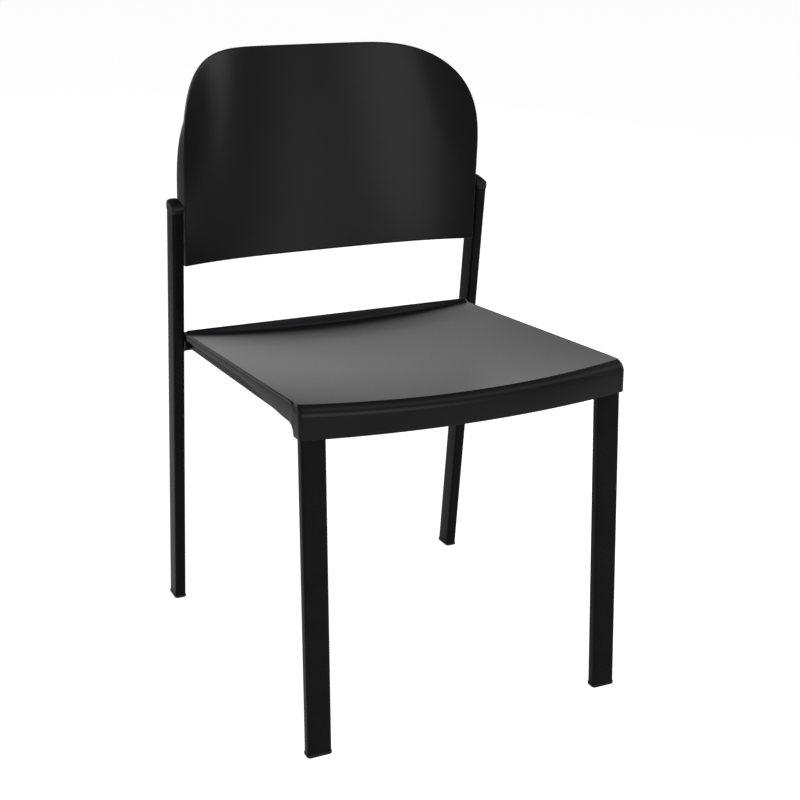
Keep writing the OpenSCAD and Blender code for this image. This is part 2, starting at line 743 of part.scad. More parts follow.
module seat_washers() {
    color(zinc_grey)
    for (side = sides) {
        at_front_screw(side) translate([0, 0, -tube_thin - washer_t])
            ring(washer_d, seat_screw_d + 2 * hole_gap, washer_t);
        at_rear_screw(side) translate([0, 0, -tab_t - washer_t])
            ring(washer_d, seat_screw_d + 2 * hole_gap, washer_t);
    }
}

module backrest_screws() {
    color(zinc_grey)
    for (side = sides) for (h = back_screw_heights) at_back_screw(side, h)
        translate([0, 0, -nut_flange_t - flange_wall - back_washer_t])
            screw(back_screw_d, back_screw_len, button_d, button_h);
}

module backrest_washers() {
    color(zinc_grey)
    for (side = sides) for (h = back_screw_heights) at_back_screw(side, h)
        translate([0, 0, -nut_flange_t - flange_wall - back_washer_t])
            ring(back_washer_d, back_screw_d + 2 * hole_gap, back_washer_t);
}

module rivet_nuts() {
    color(zinc_grey)
    for (side = sides) for (h = back_screw_heights) at_back_screw(side, h)
        difference() {
            union() {
                translate([0, 0, -nut_flange_t]) cylinder(h = nut_flange_t, d = nut_flange_d);
                cylinder(h = nut_body_len, d = nut_body_d);
            }
            translate([0, 0, -nut_flange_t - cut])
                cylinder(h = nut_flange_t + nut_body_len + 2 * cut, d = back_screw_d + 2 * thread_gap);
        }
}

upright(left);  // upright_left
upright(right);  // upright_right
front_leg(left);  // front_leg_left
front_leg(right);  // front_leg_right
side_rail(left);  // side_rail_left
side_rail(right);  // side_rail_right
front_cross_rail();
rear_cross_rail();
weld_spacer(left);  // weld_spacer_left
weld_spacer(right);  // weld_spacer_right
seat_tab(left);  // seat_tab_left
seat_tab(right);  // seat_tab_right
seat_shell();
backrest_shell();
upright_cap(left);  // upright_cap_left
upright_cap(right);  // upright_cap_right
front_foot_plug(left);  // foot_plug_front_left
front_foot_plug(right);  // foot_plug_front_right
rear_foot_plug(left);  // foot_plug_rear_left
rear_foot_plug(right);  // foot_plug_rear_right
front_seat_screws();
rear_seat_screws();
seat_washers();
backrest_screws();
backrest_washers();
rivet_nuts();
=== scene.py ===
"""A black choir chair: moulded seat and backrest on a welded frame of flat-sided oval tube."""

import json
import logging
import math
from dataclasses import dataclass, field
from enum import Enum

import bpy
import numpy as np
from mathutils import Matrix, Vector

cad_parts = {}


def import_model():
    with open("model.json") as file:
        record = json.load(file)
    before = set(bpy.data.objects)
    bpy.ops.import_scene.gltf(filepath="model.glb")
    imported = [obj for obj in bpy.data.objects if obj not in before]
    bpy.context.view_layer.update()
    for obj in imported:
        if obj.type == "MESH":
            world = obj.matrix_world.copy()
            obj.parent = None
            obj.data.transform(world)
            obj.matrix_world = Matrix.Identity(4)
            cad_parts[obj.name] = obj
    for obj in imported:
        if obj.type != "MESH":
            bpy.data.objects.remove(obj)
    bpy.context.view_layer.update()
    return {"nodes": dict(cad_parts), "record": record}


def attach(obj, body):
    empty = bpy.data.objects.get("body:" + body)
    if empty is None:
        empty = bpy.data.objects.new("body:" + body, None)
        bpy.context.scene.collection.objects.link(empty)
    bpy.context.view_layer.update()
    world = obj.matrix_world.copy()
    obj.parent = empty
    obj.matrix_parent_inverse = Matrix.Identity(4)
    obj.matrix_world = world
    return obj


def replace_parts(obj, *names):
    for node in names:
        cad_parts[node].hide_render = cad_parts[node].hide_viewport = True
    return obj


LOG = logging.getLogger("choir_chair")
Point = tuple[float, float, float]
Spans = tuple[tuple[float, float, int], ...]
METRES_PER_MM = 0.001
CAMERA_PLACE_MM = (-791.7, -1741.12, 993.2)
CAMERA_TURN_DEG = (71.707, 0.0, -25.088)
CAMERA_LENS_MM = 65.69
SENSOR_MM = 36.0
# Bands in which the values that the finishes read mostly lie: a noise is about 0.5, and so is the Pointiness
# of a flat face, above which a rounded edge's lies.
DRIFT_BAND = (0.35, 0.65)
BREAK_BAND = (0.3, 0.6)
GRAIN_BAND = (0.3, 0.7)
EDGE_BAND = (0.53, 0.62)


class Side(Enum):
    """Sides of the chair, as signs of X."""

    LEFT = -1
    RIGHT = 1

    @property
    def word(self) -> str:
        """Lower-case name for use in piece names."""
        return self.name.lower()


# Colours and finishes


def linear(hex_colour: str) -> tuple[float, float, float, float]:
    """Turns an sRGB hex colour into Blender's linear colour.

    Args:
        hex_colour: Six hex digits, such as "1c1c1d".

    Returns:
        Linear red, green and blue, and an alpha of 1.
    """
    parts = np.array([int(hex_colour[i : i + 2], 16) for i in (0, 2, 4)]) / 255.0
    low, high = parts / 12.92, ((parts + 0.055) / 1.055) ** 2.4
    return (*np.where(parts <= 0.04045, low, high).tolist(), 1.0)


def add_node(
    tree: bpy.types.NodeTree, kind: str, settings: dict | None = None, links: dict | None = None
) -> bpy.types.Node:
    """Adds a node with its settings and its incoming links.

    Args:
        tree: The node tree to add to.
        kind: The node's type name.
        settings: Values by input name or number, or by property name where no input has it.
        links: Output sockets by the name or number of the input that each feeds.

    Returns:
        The new node.
    """
    node = tree.nodes.new(kind)
    for key, value in (settings or {}).items():
        if isinstance(key, int) or key in node.inputs:
            node.inputs[key].default_value = value
        else:
            setattr(node, key, value)
    for key, socket in (links or {}).items():
        tree.links.new(socket, node.inputs[key])
    return node


@dataclass(frozen=True)
class Finish:
    """A surface: its colours, gloss and grain, with the real sizes of its grain and drift in millimetres."""

    name: str
    colour: str
    drift_colour: str
    edge_colour: str
    roughness: float
    roughness_spread: float
    ior: float
    metallic: float
    specular: float
    grain_mm: float
    grain_depth_mm: float
    drift_mm: float
    edge_wear: float

    def material(self) -> bpy.types.Material:
        """Builds the procedural material.

        A fine noise of the grain's size gives the bump and the small change in roughness. A slow noise of the
        drift's size shifts the colour, as cooling in the mould and handling do. Where the surface is convex,
        at its edges, a third colour shows, broken up by the drift, as rubbed edges are.

        Returns:
            The material, ready to assign.
        """
        found = bpy.data.materials.get(self.name)
        if found:
            return found
        material = bpy.data.materials.new(self.name)
        material.use_nodes = True
        tree = material.node_tree
        tree.nodes.clear()
        place = add_node(tree, "ShaderNodeTexCoord").outputs["Object"]
        grain, drift = (
            add_node(
                tree,
                "ShaderNodeTexNoise",
                {"Scale": 1.0 / (size_mm * METRES_PER_MM), "Detail": detail, "Roughness": 0.55},
                {"Vector": place},
            ).outputs["Fac"]
            for size_mm, detail in ((self.grain_mm, 3.0), (self.drift_mm, 2.0))
        )
        convex = add_node(tree, "ShaderNodeNewGeometry").outputs["Pointiness"]
        smoothest, roughest = self.roughness - self.roughness_spread, self.roughness + self.roughness_spread
        drifted, edge, broken, rough = (
            add_node(
                tree,
                "ShaderNodeMapRange",
                {"From Min": low, "From Max": high, "To Min": first, "To Max": last},
                {"Value": value},
            ).outputs["Result"]
            for value, low, high, first, last in (
                (drift, *DRIFT_BAND, 0.0, 1.0),
                (convex, *EDGE_BAND, 0.0, self.edge_wear),
                (drift, *BREAK_BAND, 0.4, 1.0),
                (grain, *GRAIN_BAND, smoothest, roughest),
            )
        )
        body = add_node(
            tree,
            "ShaderNodeMix",
            {"data_type": "RGBA", 6: linear(self.colour), 7: linear(self.drift_colour)},
            {0: drifted},
        )
        worn = add_node(tree, "ShaderNodeMath", {"operation": "MULTIPLY"}, {0: edge, 1: broken})
        colour = add_node(
            tree,
            "ShaderNodeMix",
            {"data_type": "RGBA", 7: linear(self.edge_colour)},
            {0: worn.outputs[0], 6: body.outputs[2]},
        )
        bump = add_node(
            tree,
            "ShaderNodeBump",
            {"Strength": 1.0, "Distance": self.grain_depth_mm * METRES_PER_MM},
            {"Height": grain},
        )
        shader = add_node(
            tree,
            "ShaderNodeBsdfPrincipled",
            {"Metallic": self.metallic, "Specular IOR Level": self.specular},
            {"Base Color": colour.outputs[2], "Roughness": rough, "Normal": bump.outputs["Normal"]},
        )
        if self.metallic == 0:
            shader.inputs["IOR"].default_value = self.ior
        add_node(tree, "ShaderNodeOutputMaterial", None, {"Surface": shader.outputs["BSDF"]})
        return material


# Polypropylene moulded against a spark-eroded steel face: a fine even grain that spreads a grey sheen at low
# angles and stays near black seen straight on. The real grain is about 0.3 mm wide, drawn at 0.9 mm to show.
POLYPROPYLENE = Finish(
    name="moulded_polypropylene",
    colour="151516",
    drift_colour="18181a",
    edge_colour="1f1f21",
    roughness=0.32,
    roughness_spread=0.04,
    ior=1.49,
    metallic=0.0,
    specular=0.15,
    grain_mm=0.9,
    grain_depth_mm=0.03,
    drift_mm=130.0,
    edge_wear=0.6,
)
# Powder coat baked on steel tube: satin black with the faint orange peel of flowed powder, about 2 mm across.
POWDER_COAT = Finish(
    name="powder_coated_steel",
    colour="090909",
    drift_colour="0c0c0d",
    edge_colour="161617",
    roughness=0.26,
    roughness_spread=0.03,
    ior=1.45,
    metallic=0.0,
    specular=0.09,
    grain_mm=2.2,
    grain_depth_mm=0.02,
    drift_mm=70.0,
    edge_wear=0.7,
)
# Polyethylene plugs from a polished mould: smooth, a little waxy and greyer than the paint.
POLYETHYLENE = Finish(
    name="moulded_polyethylene",
    colour="101011",
    drift_colour="131314",
    edge_colour="1c1c1d",
    roughness=0.40,
    roughness_spread=0.04,
    ior=1.50,
    metallic=0.0,
    specular=0.26,
    grain_mm=0.9,
    grain_depth_mm=0.02,
    drift_mm=14.0,
    edge_wear=0.6,
)
# Bright zinc plate on steel screws, washers and rivet nuts, with a slight haze from the bath.
ZINC_PLATE = Finish(
    name="zinc_plated_steel",
    colour="a9acb0",
    drift_colour="9a9ca0",
    edge_colour="bfc2c6",
    roughness=0.33,
    roughness_spread=0.06,
    ior=1.5,
    metallic=1.0,
    specular=0.5,
    grain_mm=0.5,
    grain_depth_mm=0.01,
    drift_mm=4.0,
    edge_wear=0.5,
)


# Meshes


@dataclass
class Surface:
    """Vertices and faces that grow as closed shells are added."""

    points: list[np.ndarray] = field(default_factory=list)
    faces: list[list[int]] = field(default_factory=list)
    count: int = 0

    def add_rings(self, rings: np.ndarray, loop: bool = False) -> None:
        """Adds a closed shell through rings of equal length.

        Point (i, j) of the grid joins (i + 1, j) and (i, j + 1), with j going round. The ends close with a
        fan to the mean of the end ring, or the last ring joins the first.

        Args:
            rings: Array of shape (rings, points, 3), in millimetres. Seen from the first ring's side, each
                ring runs clockwise.
            loop: True if the last ring joins the first, as on a tube's wall.
        """
        total, around = rings.shape[:2]
        grid = np.arange(total * around).reshape(total, around) + self.count
        lower = np.roll(grid, -1, axis=0) if loop else grid[1:]
        upper = grid if loop else grid[:-1]
        quads = np.stack(
            [upper, np.roll(upper, -1, axis=1), np.roll(lower, -1, axis=1), lower], axis=-1
        ).reshape(-1, 4)
        self.points.append(rings.reshape(-1, 3))
        self.faces.extend(quads.tolist())
        self.count += total * around
        if loop:
            return
        for ring, ids, turn in ((rings[0], grid[0], 1), (rings[-1], grid[-1], -1)):
            self.points.append(ring.mean(axis=0)[None])
            fan = np.stack([np.full(around, self.count), np.roll(ids, -turn), ids], axis=-1)
            self.faces.extend(fan.tolist())
            self.count += 1

    def piece(self, name: str, finish: Finish, slot: str, sharp_deg: float = 32.0) -> bpy.types.Object:
        """Makes the Blender object at the origin, with its place in its mesh.

        Args:
            name: The piece's name.
            finish: The finish that it gets.
            slot: The record's material slot. Not used.
            sharp_deg: Edges that turn more than this stay sharp.

        Returns:
            The new object, riding on the chair.
        """
        mesh = bpy.data.meshes.new(name)
        mesh.from_pydata((np.concatenate(self.points) * METRES_PER_MM).tolist(), [], self.faces)
        mesh.validate()
        mesh.shade_smooth()
        mesh.set_sharp_from_angle(angle=math.radians(sharp_deg))
        made = bpy.data.objects.new(name, mesh)
        bpy.context.scene.collection.objects.link(made)
        mesh.materials.append(finish.material())
        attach(made, "root")
        LOG.info("%s: %d faces", name, len(mesh.polygons))
        return made


def rise(share: np.ndarray) -> np.ndarray:
    """Even rise from 0 to 1: three times the square less twice the cube of the clipped share."""
    held = np.clip(share, 0.0, 1.0)
    return held * held * (3.0 - 2.0 * held)


def spread(spans: Spans) -> np.ndarray:
    """Joins even runs of values, each given by its first value, its last value and its count."""
    return np.concatenate([np.linspace(*span) for span in spans])


def mirror_half(half: np.ndarray) -> np.ndarray:
    """Turns a half outline about X = 0 and reverses it, so that it goes on from the first half.

    Args:
        half: The first half, one point a row, with X first.

    Returns:
        The other half, in the same order round.
    """
    turned = half[::-1].copy()
    turned[:, 0] *= -1.0
    return turned


def turn_x(degrees: float) -> np.ndarray:
    """Rotation matrix about X."""
    c, s = math.cos(math.radians(degrees)), math.sin(math.radians(degrees))
    return np.array([[1, 0, 0], [0, c, -s], [0, s, c]])


def turn_y(degrees: float) -> np.ndarray:
    """Rotation matrix about Y."""
    c, s = math.cos(math.radians(degrees)), math.sin(math.radians(degrees))
    return np.array([[c, 0, s], [0, 1, 0], [-s, 0, c]])


def turn_z(degrees: float) -> np.ndarray:
    """Rotation matrix about Z."""
    c, s = math.cos(math.radians(degrees)), math.sin(math.radians(degrees))
    return np.array([[c, -s, 0], [s, c, 0], [0, 0, 1]])


@dataclass(frozen=True)
class TubeSection:
    """Flat-sided oval tube, wide along the frame's Y."""

    wide: float = 32.0
    thin: float = 16.0
    corner: float = 4.0
    wall: float = 1.5
    corner_steps: int = 10

    def outline(self, margin: float = 0.0) -> np.ndarray:
        """Outline of the section: four quarter circles joined by straight sides, clockwise from above.

        Args:
            margin: How far the outline stands outside the tube's own.

        Returns:
            Array of shape (points, 2), in millimetres.
        """
        radius = self.corner + margin
        angles = np.concatenate([
            np.radians(np.linspace(90.0 - 90.0 * k, -90.0 * k, self.corner_steps)) for k in range(4)
        ])
        centre_x = (self.thin / 2 - self.corner) * np.repeat([1, 1, -1, -1], self.corner_steps)
        centre_y = (self.wide / 2 - self.corner) * np.repeat([1, -1, -1, 1], self.corner_steps)
        return np.stack([centre_x + radius * np.cos(angles), centre_y + radius * np.sin(angles)], axis=-1)


@dataclass(frozen=True)
class Axis:
    """A straight frame: a foot, and a turn that carries Z along the axis."""

    foot: Point
    turn: np.ndarray

    def place(self, local: np.ndarray) -> np.ndarray:
        """Carries points from this frame to the chair's: turned, then moved to the foot."""
        return local @ self.turn.T + np.array(self.foot)

    def ring(self, outline: np.ndarray, height: float) -> np.ndarray:
        """Ring square to the axis at a height along it."""
        return self.place(np.column_stack([outline, np.full(len(outline), height)]))

    def level_ring(self, outline: np.ndarray, level: float) -> np.ndarray:
        """Ring in a level plane: each point slides along the axis until it is at the level.

        Args:
            outline: Outline of the section, shape (points, 2).
            level: Height above the floor.

        Returns:
            Array of shape (points, 3).
        """
        start = self.place(np.column_stack([outline, np.zeros(len(outline))]))
        along = self.turn[:, 2]
        return start + ((level - start[:, 2]) / along[2])[:, None] * along


# The frame


@dataclass
class Frame:
    """The welded tubes, with their caps and plugs. Sizes are in millimetres."""

    section: TubeSection = field(default_factory=TubeSection)
    upright_x: float = 232.9
    upright_foot_y: float = 262.45
    upright_lean: float = 8.0
    upright_len: float = 619.024
    leg_foot_x: float = 207.667
    leg_foot_y: float = -251.818
    leg_lean: float = 1.6
    leg_splay: float = 0.6
    leg_len: float = 444.198
    flange_h: float = 4.0
    proud: float = 0.8
    edge_r: float = 0.7
    edge_steps: int = 5
    cap_h: float = 15.5
    cap_peak: float = 6.0
    cap_front_r: float = 34.0
    cap_rear_r: float = 11.0
    cap_side_r: float = 10.0
    cap_shares: tuple[float, ...] = (0.05, 0.25, 0.45, 0.62, 0.76, 0.87, 0.94, 0.98)
    cap_shoulder: tuple[tuple[float, float], ...] = ((0.996, 0.2), (1.0, 0.8))
    cap_rim: tuple[tuple[float, float], ...] = ((1.0, 0.5), (0.985, 0.0))
    bead_r: float = 1.6
    bead_ripple: float = 2.4
    bead_swell: float = 0.1
    bead_tip: float = 0.05
    bead_around: int = 12
    bead_steps: int = 27
    ring_steps: int = 130
    bead_far: float = 0.6
    bead_mid: float = 0.4
    bead_near: float = 0.3
    bead_close: float = 0.2
    rear_cross_h: float = 25.0
    rear_cross_y: float = 203.563
    rear_cross_z: float = 419.0
    front_cross_z: float = 432.5
    spacer_front_y: float = 183.563
    spacer_top_z: float = 423.7
    rail_front: Point = (203.091, -239.611, 437.0)
    rail_rear: Point = (204.0, 195.5, 419.9)

    def upright_axis(self, side: Side) -> Axis:
        """Axis of an upright."""
        return Axis((side.value * self.upright_x, self.upright_foot_y, 0.0), turn_x(self.upright_lean))

    def leg_axis(self, side: Side) -> Axis:
        """Axis of a front leg, with the wide side of its section across the chair."""
        tilt = turn_y(-side.value * self.leg_splay) @ turn_x(-self.leg_lean)
        return Axis((side.value * self.leg_foot_x, self.leg_foot_y, 0.0), tilt @ turn_z(90.0))

    def tube(self, axis: Axis, length: float) -> Surface:
        """Tube wall from a level cut above its plug to a square end: outside down, inside up.

        Args:
            axis: The tube's axis.
            length: Its length from the floor to the square end.

        Returns:
            The wall's surface.
        """
        outer, inner = self.section.outline(), self.section.outline(-self.section.wall)
        made = Surface()
        made.add_rings(
            np.stack([
                axis.ring(outer, length),
                axis.level_ring(outer, self.flange_h),
                axis.level_ring(inner, self.flange_h),
                axis.ring(inner, length),
            ]),
            loop=True,
        )
        return made

    def foot(self, axis: Axis) -> Surface:
        """Plug flange on the floor: both edges rounded by a quarter circle, sides along the tube's axis.

        Args:
            axis: The tube's axis.

        Returns:
            The flange's surface.
        """
        turn = np.radians(np.linspace(0.0, 90.0, self.edge_steps))
        margins = self.proud - self.edge_r * (1 - np.sin(turn))
        drops = self.edge_r * (1 - np.cos(turn))
        margins = np.concatenate([margins, margins[::-1]])
        levels = np.concatenate([self.flange_h - drops, drops[::-1]])
        made = Surface()
        made.add_rings(np.stack([
            axis.level_ring(self.section.outline(margin), level) for margin, level in zip(margins, levels)
        ]))
        return made

    def dome_height(self, across: np.ndarray, along: np.ndarray) -> np.ndarray:
        """Height of a cap's dome.

        Along the tube's wide side it is a flat arc ahead of the peak and a tight arc behind it. Across, a
        circle drops from the peak's height. The lower of the two holds, with a soft blend where they meet.

        Args:
            across: Places along the section's thin side.
            along: Places along its wide side, positive to the rear.

        Returns:
            Heights above the tube's end.
        """
        behind = along - self.cap_peak
        radius = np.where(behind > 0, self.cap_rear_r, self.cap_front_r)
        arc = radius - np.sqrt(np.maximum(radius**2 - behind**2, 0.0))
        side = self.cap_side_r - np.sqrt(np.maximum(self.cap_side_r**2 - across**2, 0.0))
        return self.cap_h - (arc**3 + side**3) ** (1 / 3)

    def cap(self, axis: Axis) -> Surface:
        """Domed cap: drawn-in rings over the dome, a rounded shoulder, and a straight side down to the tube.

        Args:
            axis: The upright's axis.

        Returns:
            The cap's surface.
        """
        outline = self.section.outline(self.proud)
        rings = []
        for share in self.cap_shares:
            drawn = outline * share
            rings.append(np.column_stack([drawn, self.dome_height(drawn[:, 0], drawn[:, 1])]))
        top = self.dome_height(outline[:, 0], outline[:, 1])
        for share, drop in self.cap_shoulder:
            rings.append(np.column_stack([outline * share, top - drop]))
        for share, height in self.cap_rim:
            rings.append(np.column_stack([outline * share, np.full(len(outline), height)]))
        end = np.array([0.0, 0.0, self.upright_len])
        made = Surface()
        made.add_rings(np.stack([axis.place(ring + end) for ring in rings]))
        return made

    def bead(self, made: Surface, path: np.ndarray, across: np.ndarray, closed: bool = False) -> None:
        """Adds a weld bead: a circle carried along a path, its radius rippled by a sine of the length run.

        Args:
            made: The surface that takes the bead.
            path: Points of the path, shape (points, 3).
            across: A unit vector square to the whole path.
            closed: True if the path's end joins its start.
        """
        if closed:
            along = np.roll(path, -1, axis=0) - np.roll(path, 1, axis=0)
        else:
            along = np.gradient(path, axis=0)
        along /= np.linalg.norm(along, axis=1, keepdims=True)
        side = np.cross(along, across)
        steps = np.linalg.norm(np.diff(path, axis=0), axis=1)
        run = np.concatenate([[0.0], np.cumsum(steps)])
        radius = self.bead_r * (1 + self.bead_swell * np.sin(2 * np.pi * run / self.bead_ripple))
        if not closed:
            radius *= np.sqrt(np.clip(np.minimum(run, run[-1] - run) / self.bead_r, self.bead_tip, 1.0))
        turn = np.linspace(0.0, 2 * np.pi, self.bead_around + 1)[:-1]
        offset = np.cos(turn)[None, :, None] * side[:, None] - np.sin(turn)[None, :, None] * across
        made.add_rings(path[:, None] + radius[:, None, None] * offset, loop=closed)

    def weld_beads(self, side: Side) -> Surface:
        """The beads of one side, each along the line where two pieces meet.

        One runs round the rear cross rail's end. Straight ones run under the side rail's two ends, under the
        front cross rail's end, and up the spacer's front edge.

        Args:
            side: The side of the chair.

        Returns:
            The beads' surface.
        """
        made = Surface()
        wall_x = side.value * (self.upright_x - self.section.thin / 2)
        rail = TubeSection(wide=self.rear_cross_h)
        loop = rail.outline(self.bead_far)
        loop = np.concatenate([loop, loop[:1]])
        run = np.concatenate([[0.0], np.cumsum(np.linalg.norm(np.diff(loop, axis=0), axis=1))])
        even = np.linspace(0.0, run[-1], self.ring_steps + 1)[:-1]
        loop = np.stack([np.interp(even, run, loop[:, k]) for k in range(2)], axis=-1)
        centre = np.array([wall_x - side.value * self.bead_mid, self.rear_cross_y, self.rear_cross_z])
        path = np.column_stack([np.zeros(len(loop)), loop]) @ turn_x(self.upright_lean).T + centre
        self.bead(made, path, np.array([1.0, 0.0, 0.0]), closed=True)
        share = np.linspace(0.0, 1.0, self.bead_steps)[:, None]
        for start, end, across in self.bead_lines(side, wall_x):
            self.bead(made, np.array(start) * (1 - share) + np.array(end) * share, np.array(across))
        return made

    def bead_lines(self, side: Side, wall_x: float) -> tuple[tuple[Point, Point, Point], ...]:
        """Ends of the straight beads, each a little off the corner of its joint, and a vector square to it.

        Args:
            side: The side of the chair.
            wall_x: Place of the upright's inner face.

        Returns:
            For each bead its start, its end and the vector: under the side rail's front end, under its rear
            end, under the front cross rail's end, and up the spacer's front edge.
        """
        sign, flat = side.value, self.section.wide / 2 - self.section.corner
        front_x, front_y, front_z = self.rail_front
        rear_x, rear_y, rear_z = self.rail_rear
        half = self.section.thin / 2
        leg_x = self.leg_foot_x - math.tan(math.radians(self.leg_splay)) * self.front_cross_z
        cross_x = sign * (leg_x - self.section.wide / 2 - self.bead_mid)
        cross_z = self.front_cross_z - half - self.bead_close
        spacer_x, spacer_y = wall_x - sign * self.bead_near, self.spacer_front_y - self.bead_near
        spacer_low, spacer_high = rear_z - half + self.bead_r, self.spacer_top_z - self.bead_far
        front_y_off, front_z_off = front_y + half + self.bead_far, front_z - half - self.bead_far
        rear_y_off, rear_z_off = rear_y - self.bead_mid, rear_z - half - self.bead_mid
        upwards, sideways = (0.0, 0.0, 1.0), (1.0, 0.0, 0.0)
        front, rear = (
            tuple((sign * (x + step), y, z) for step in (-flat, flat))
            for x, y, z in ((front_x, front_y_off, front_z_off), (rear_x, rear_y_off, rear_z_off))
        )
        return (
            (*front, upwards),
            (*rear, upwards),
            ((cross_x, front_y - flat / 3, cross_z), (cross_x, front_y + half, cross_z), upwards),
            ((spacer_x, spacer_y, spacer_low), (spacer_x, spacer_y, spacer_high), sideways),
        )

    def build(self) -> None:
        """Builds the tubes, plugs and caps, puts each in place of its node, and adds the weld beads.

        The photographed seat mirrors no upright, so the uprights and their caps stay out of mirror images.
        """
        for side in Side:
            upright, leg = self.upright_axis(side), self.leg_axis(side)
            tubes = (
                (self.tube(upright, self.upright_len), "upright_tube", "upright", False),
                (self.tube(leg, self.leg_len), "front_leg_tube", "front_leg", True),
            )
            plugs = (
                (self.foot(upright), "rear_foot", "foot_plug_rear", True),
                (self.foot(leg), "front_foot", "foot_plug_front", True),
                (self.cap(upright), "upright_dome", "upright_cap", False),
            )
            for jobs, finish, slot in ((tubes, POWDER_COAT, "frame"), (plugs, POLYETHYLENE, "plug")):
                for surface, name, node, mirrored in jobs:
                    made = surface.piece(f"{name}_{side.word}", finish, slot)
                    made.visible_glossy = mirrored
                    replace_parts(made, f"{node}_{side.word}")
            self.weld_beads(side).piece(f"weld_beads_{side.word}", POWDER_COAT, "frame")


# The seat


